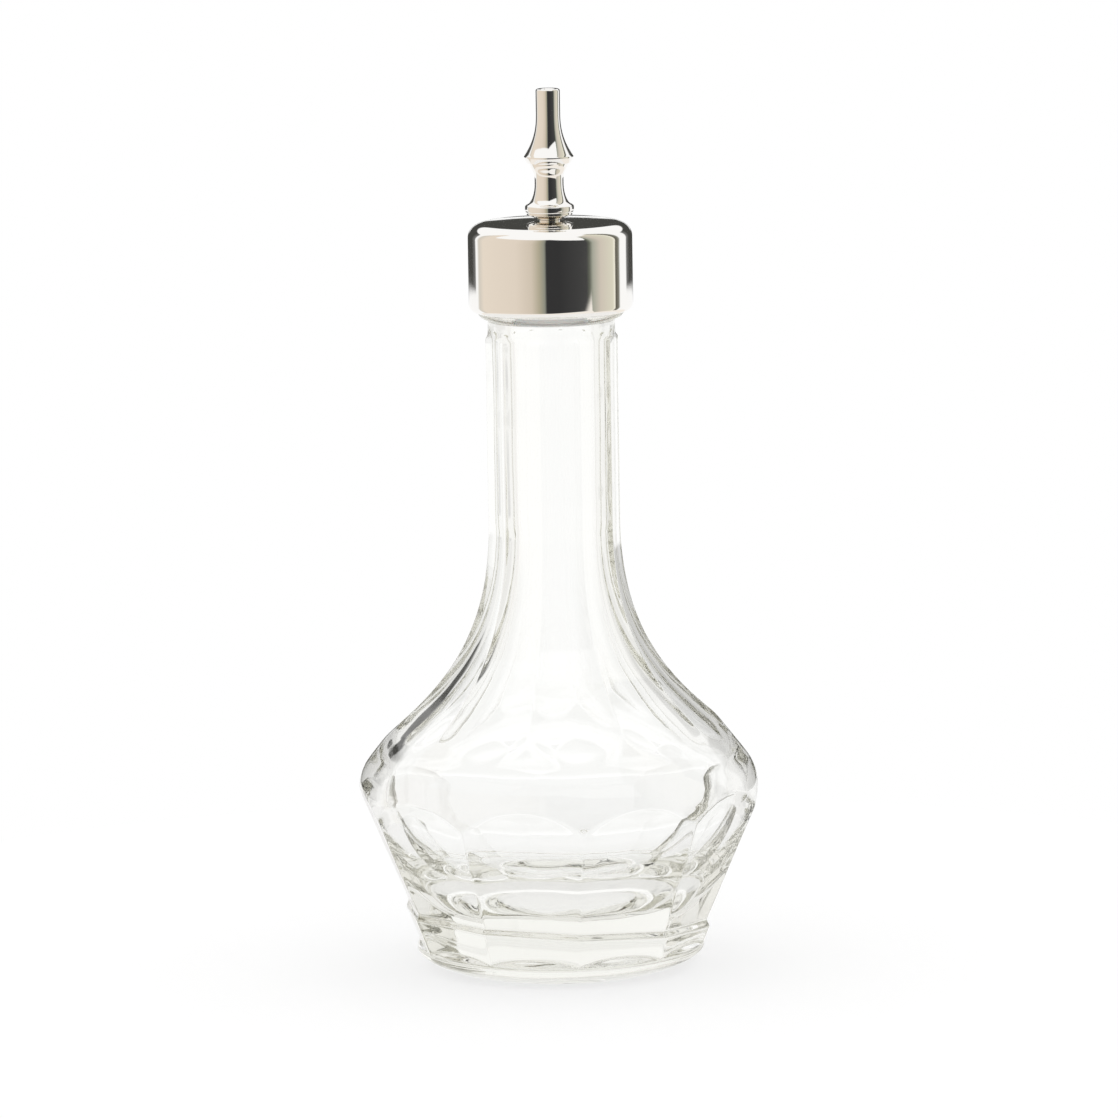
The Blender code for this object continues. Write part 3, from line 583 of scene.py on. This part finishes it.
# Lip gasket and seal rings
# Soft pale silicone: a flat ring that lies between the core's flange and the lip, and two round rings in
# the stem's grooves that grip the bore. Moulded, with a dull skin.
GASKET_EDGE = 0.15 * MM
SILICONE_DARK, SILICONE_PALE = (0.84, 0.84, 0.81), (0.91, 0.91, 0.89)
seal_rubber, shader, place = finish("seal_rubber", IOR=1.41, Subsurface_Weight=0.2)
wire_up(shader, Base_Color=place.noise(300, 3.0).ramp((0.3, SILICONE_DARK), (0.7, SILICONE_PALE)),
        Roughness=place.noise(800, 2.0).ramp((0.3, 0.5), (0.7, 0.65)),
        Normal=bumped(place.noise(3000, 2.0), 0.008 * MM))
gasket_top, gasket_inner = GASKET_FOOT + LIP_GASKET_THICKNESS, stem_radius + GAP
gasket_corners = [(gasket_inner, GASKET_FOOT, GASKET_EDGE), (NECK_FLAT, GASKET_FOOT, GASKET_EDGE),
                  (NECK_FLAT, gasket_top, GASKET_EDGE), (gasket_inner, gasket_top, GASKET_EDGE)]
gasket_mesh = turned(eased_outline(gasket_corners), 72)
gasket = placed("flat_lip_gasket", gasket_mesh, "lip_gasket", "dasher_top")
gasket.data.materials.append(seal_rubber)
for side, seal_height in zip(("upper", "lower"), SEAL_HEIGHTS):
    centre, radii = (SEAL_CENTRE_RADIUS, seal_height), (SEAL_SECTION_RADIUS, SEAL_SECTION_RADIUS)
    section = turned(arc(centre, radii, 0, 360, 20)[:-1], 72)
    seal_ring = placed("round_seal_" + side, section, side + "_seal_ring", "dasher_top")
    seal_ring.data.materials.append(seal_rubber)


# Table
# A small round white table top. It keeps a soft shadow at the foot. Through the glass it is a little
# greyer, and lighter again under the foot, where a painted pool of light stands in for the light that the
# glass gathers there.
TABLE_RADIUS, TABLE_COLOUR = 150 * MM, (0.36, 0.36, 0.36)
GLOW_IN_GLASS, PAINTED_POOL_GLOW, GLOW_TO_CAMERA = 0.62, 0.77, 0.66
bm = bmesh.new()
bmesh.ops.create_circle(bm, cap_ends=True, radius=TABLE_RADIUS, segments=96)
mesh = bpy.data.meshes.new("table_top")
bm.to_mesh(mesh)
bm.free()
table = bpy.data.objects.new("table_top", mesh)
bpy.context.scene.collection.objects.link(table)
material = bpy.data.materials.new("white_table")
material.use_nodes = True
tree = material.node_tree
place = Wire(tree.nodes.new("ShaderNodeTexCoord").outputs["Object"])
to_camera = Wire(tree.nodes.new("ShaderNodeLightPath").outputs["Is Camera Ray"])
from_foot = place.node("ShaderNodeVectorMath", {"operation": "LENGTH"}, {0: place}, out=1)
share_out = from_foot * (1 / TABLE_RADIUS)
# Painted pool of light on the table round the foot, seen only through the glass
painted_pool = share_out.ramp((0.08, 1.0), (0.14, 0.5), (0.25, 0.15), (0.4, 0.12), (0.6, 0.0))
plain_glow, painted_pool_light, camera_glow = [place.node("ShaderNodeEmission", None, {"Strength": strength})
                                      for strength in (GLOW_IN_GLASS, PAINTED_POOL_GLOW, GLOW_TO_CAMERA)]
in_glass = place.node("ShaderNodeMixShader", None, {0: painted_pool, 1: plain_glow, 2: painted_pool_light})
glow = place.node("ShaderNodeMixShader", None, {0: to_camera, 1: in_glass, 2: camera_glow})
dull = place.node("ShaderNodeBsdfDiffuse", None, {"Color": (*TABLE_COLOUR, 1.0)})
surface = place.node("ShaderNodeAddShader", None, {0: dull, 1: glow})
tree.links.new(surface.socket, tree.nodes["Material Output"].inputs["Surface"])
table.data.materials.append(material)


# Studio
# One even white light all round, faintly greyer at the horizon for what is seen through the glass. What
# is mirrored, by the metal or inside the glass, also shows the studio's cream walls, the dark side
# beside the camera, the dark above the white sweep, and the floor.
CAMERA_SIDE = math.radians(7)
CREAM, TAN, NIGHT = (0.816, 0.726, 0.621), (0.445, 0.407, 0.302), (0.036, 0.036, 0.037)
WHITE, DUSK, FLOOR, CLEAR = (1.0, 1.0, 1.0), (0.06, 0.06, 0.055), (0.93, 0.88, 0.82), (0.97, 0.965, 0.95)
PAST_GLASS, HORIZON = (1.06, 1.06, 1.06), (0.97, 0.97, 0.965)
DUSK_STEEPNESS, DUSK_BEND, DUSK_RISE = 13, 0.18, 1.72
CLEAR_SHARE, STREAK_SHARE = 0.88, 0.68
world = bpy.data.worlds.new("studio")
bpy.context.scene.world = world
world.use_nodes = True
tree = world.node_tree
way = Wire(tree.nodes.new("ShaderNodeTexCoord").outputs["Generated"])
path = tree.nodes.new("ShaderNodeLightPath")
mirrored = way.maths("GREATER_THAN", Wire(path.outputs["Glossy Depth"]), 0.5)
through = Wire(path.outputs["Is Transmission Ray"])
front = (-math.sin(CAMERA_SIDE), -math.cos(CAMERA_SIDE), 0)
right = (math.cos(CAMERA_SIDE), -math.sin(CAMERA_SIDE), 0)
ahead, sideways = [way.node("ShaderNodeVectorMath", {"operation": "DOT_PRODUCT"}, {0: way, 1: v}, out=1)
                   for v in (front, right)]
turn = way.maths("ARCTAN2", sideways, ahead) * (1 / math.tau) + 0.5
height = way.node("ShaderNodeSeparateXYZ", None, {0: way}, out=2)


def all_round(*stops):
    """A value or colour by direction: degrees from the camera's side, right hand positive, 180 behind."""
    return turn.ramp(*[((degree + 180) / 360, colour) for degree, colour in stops])


def mixed(factor, first, second):
    """A blend of two colours or wires, from the first at 0 to the second at 1."""
    first, second = [c if isinstance(c, Wire) else (*c, 1.0) for c in (first, second)]
    return way.node("ShaderNodeMix", {"data_type": "RGBA"}, {"Factor": factor, 6: first, 7: second}, out=2)


def step_up(value, low, high):
    """0 below low, 1 above high."""
    return value.node("ShaderNodeMapRange", {"interpolation_type": "SMOOTHSTEP"},
                      {"Value": value, "From Min": low, "From Max": high})


# Walls and the dark side, from the left of the back round past the camera to the right
walls = all_round(
    (-129, WHITE), (-125, WHITE), (-120, (0.66, 0.62, 0.55)), (-109, CREAM), (-50, (0.77, 0.68, 0.58)),
    (-27, (0.66, 0.58, 0.48)), (-16, TAN), (-7.6, (0.26, 0.27, 0.23)), (-6.4, NIGHT), (12, NIGHT),
    (52, (0.06, 0.06, 0.06)), (57, (0.13, 0.14, 0.11)), (62, (0.4, 0.41, 0.345)), (75, (0.64, 0.58, 0.5)),
    (98, (0.72, 0.7, 0.57)), (102.6, (0.95, 0.92, 0.8)), (104, (0.1, 0.09, 0.07)), (112, (0.24, 0.24, 0.2)),
    (115, WHITE), (126, WHITE))

# The white sweep behind, the dark above it, and a thin white line at its far top edge
dusk = mixed(step_up(height * DUSK_STEEPNESS + ahead * DUSK_BEND + DUSK_RISE, -0.12, -0.005), WHITE, DUSK)
white_foot = step_up(height + ahead * 0.3 + 0.31, -0.008, 0.008)
white_top = step_up(height + ahead * 0.4 + 0.34, -0.006, 0.008)
dusk = mixed((white_foot - white_top) * step_up(ahead * -1.0, 0.96, 0.985), dusk, WHITE)
behind = all_round((-142, 1.0), (-131, 0.85), (-129, 0.0), (132, 0.0), (135, 0.85), (145, 1.0))
studio = mixed(behind, walls, dusk)

# The floor below, and the white light above, which comes down lowest behind
floor_line = all_round((-110, 0.25), (0, 0.32), (30, 0.38), (60, 0.44), (66, 0.3), (110, 0.3))
studio = mixed(step_up(floor_line - height * 0.5 - 0.5, 0.0, 0.02), studio, FLOOR)
lift_line = all_round(
    (-177, 0.3), (-165, 0.34), (-131, 0.42), (-129, 0.2), (-112, 0.84), (-104, 0.84), (-96, 0.56),
    (-60, 0.66), (0, 0.74), (54, 0.5), (60, 0.86), (110, 0.9), (129, 0.2), (131, 0.42), (165, 0.34),
    (177, 0.3))
studio = mixed(step_up(height - lift_line, -0.02, 0.02), studio, WHITE)

# Light that leaves the glass is mostly clear, but for a dark streak left of the back
left_behind = all_round((-174, 0.1), (-166, 1.0), (-148, 1.0), (-136, 0.0), (140, 0.0), (150, 0.1))
low_band = step_up(height, -0.21, -0.17) - step_up(height, -0.165, -0.12)
high_band = step_up(height, 0.12, 0.17) - step_up(height, 0.34, 0.42)
streak = left_behind * (high_band + low_band * 0.5)
studio = mixed(through * (CLEAR_SHARE - STREAK_SHARE * streak), studio, mixed(streak, CLEAR, DUSK))
horizon = step_up(height, -0.165, -0.02) - step_up(height, 0.0, 0.3)
light = mixed(mirrored, mixed(through, WHITE, mixed(horizon, PAST_GLASS, HORIZON)), studio)
tree.links.new(light.socket, tree.nodes["Background"].inputs["Color"])
world.cycles.sampling_method = "NONE"
for limit, bounces in (("max_bounces", 40), ("glossy_bounces", 20), ("transmission_bounces", 40)):
    setattr(bpy.context.scene.cycles, limit, bounces)


# Camera
# A long lens, a little above the bottle and to its left, held with a slight tilt.
CAMERA_RISE, CAMERA_DISTANCE, CAMERA_ROLL = math.radians(8.56), 1517 * MM, math.radians(-0.9)
AIM_HEIGHT, AIM_ASIDE, LENS_LENGTH, FILM_WIDTH = 64.34 * MM, 0.62 * MM, 312.8, 36.0
NEAREST, FURTHEST = 10 * MM, 20.0
aim = Vector((0, 0, AIM_HEIGHT)) + Vector(right) * AIM_ASIDE
back = Vector((front[0] * math.cos(CAMERA_RISE), front[1] * math.cos(CAMERA_RISE), math.sin(CAMERA_RISE)))
lens = bpy.data.cameras.new("camera")
lens.lens, lens.sensor_width = LENS_LENGTH, FILM_WIDTH
lens.clip_start, lens.clip_end = NEAREST, FURTHEST
camera = bpy.data.objects.new("camera", lens)
bpy.context.scene.collection.objects.link(camera)
turned_back = back.to_track_quat("Z", "Y").to_matrix().to_4x4() @ Matrix.Rotation(CAMERA_ROLL, 4, "Z")
camera.matrix_world = Matrix.Translation(aim + back * CAMERA_DISTANCE) @ turned_back
bpy.context.scene.camera = camera
bpy.context.scene.view_settings.view_transform = "Standard"
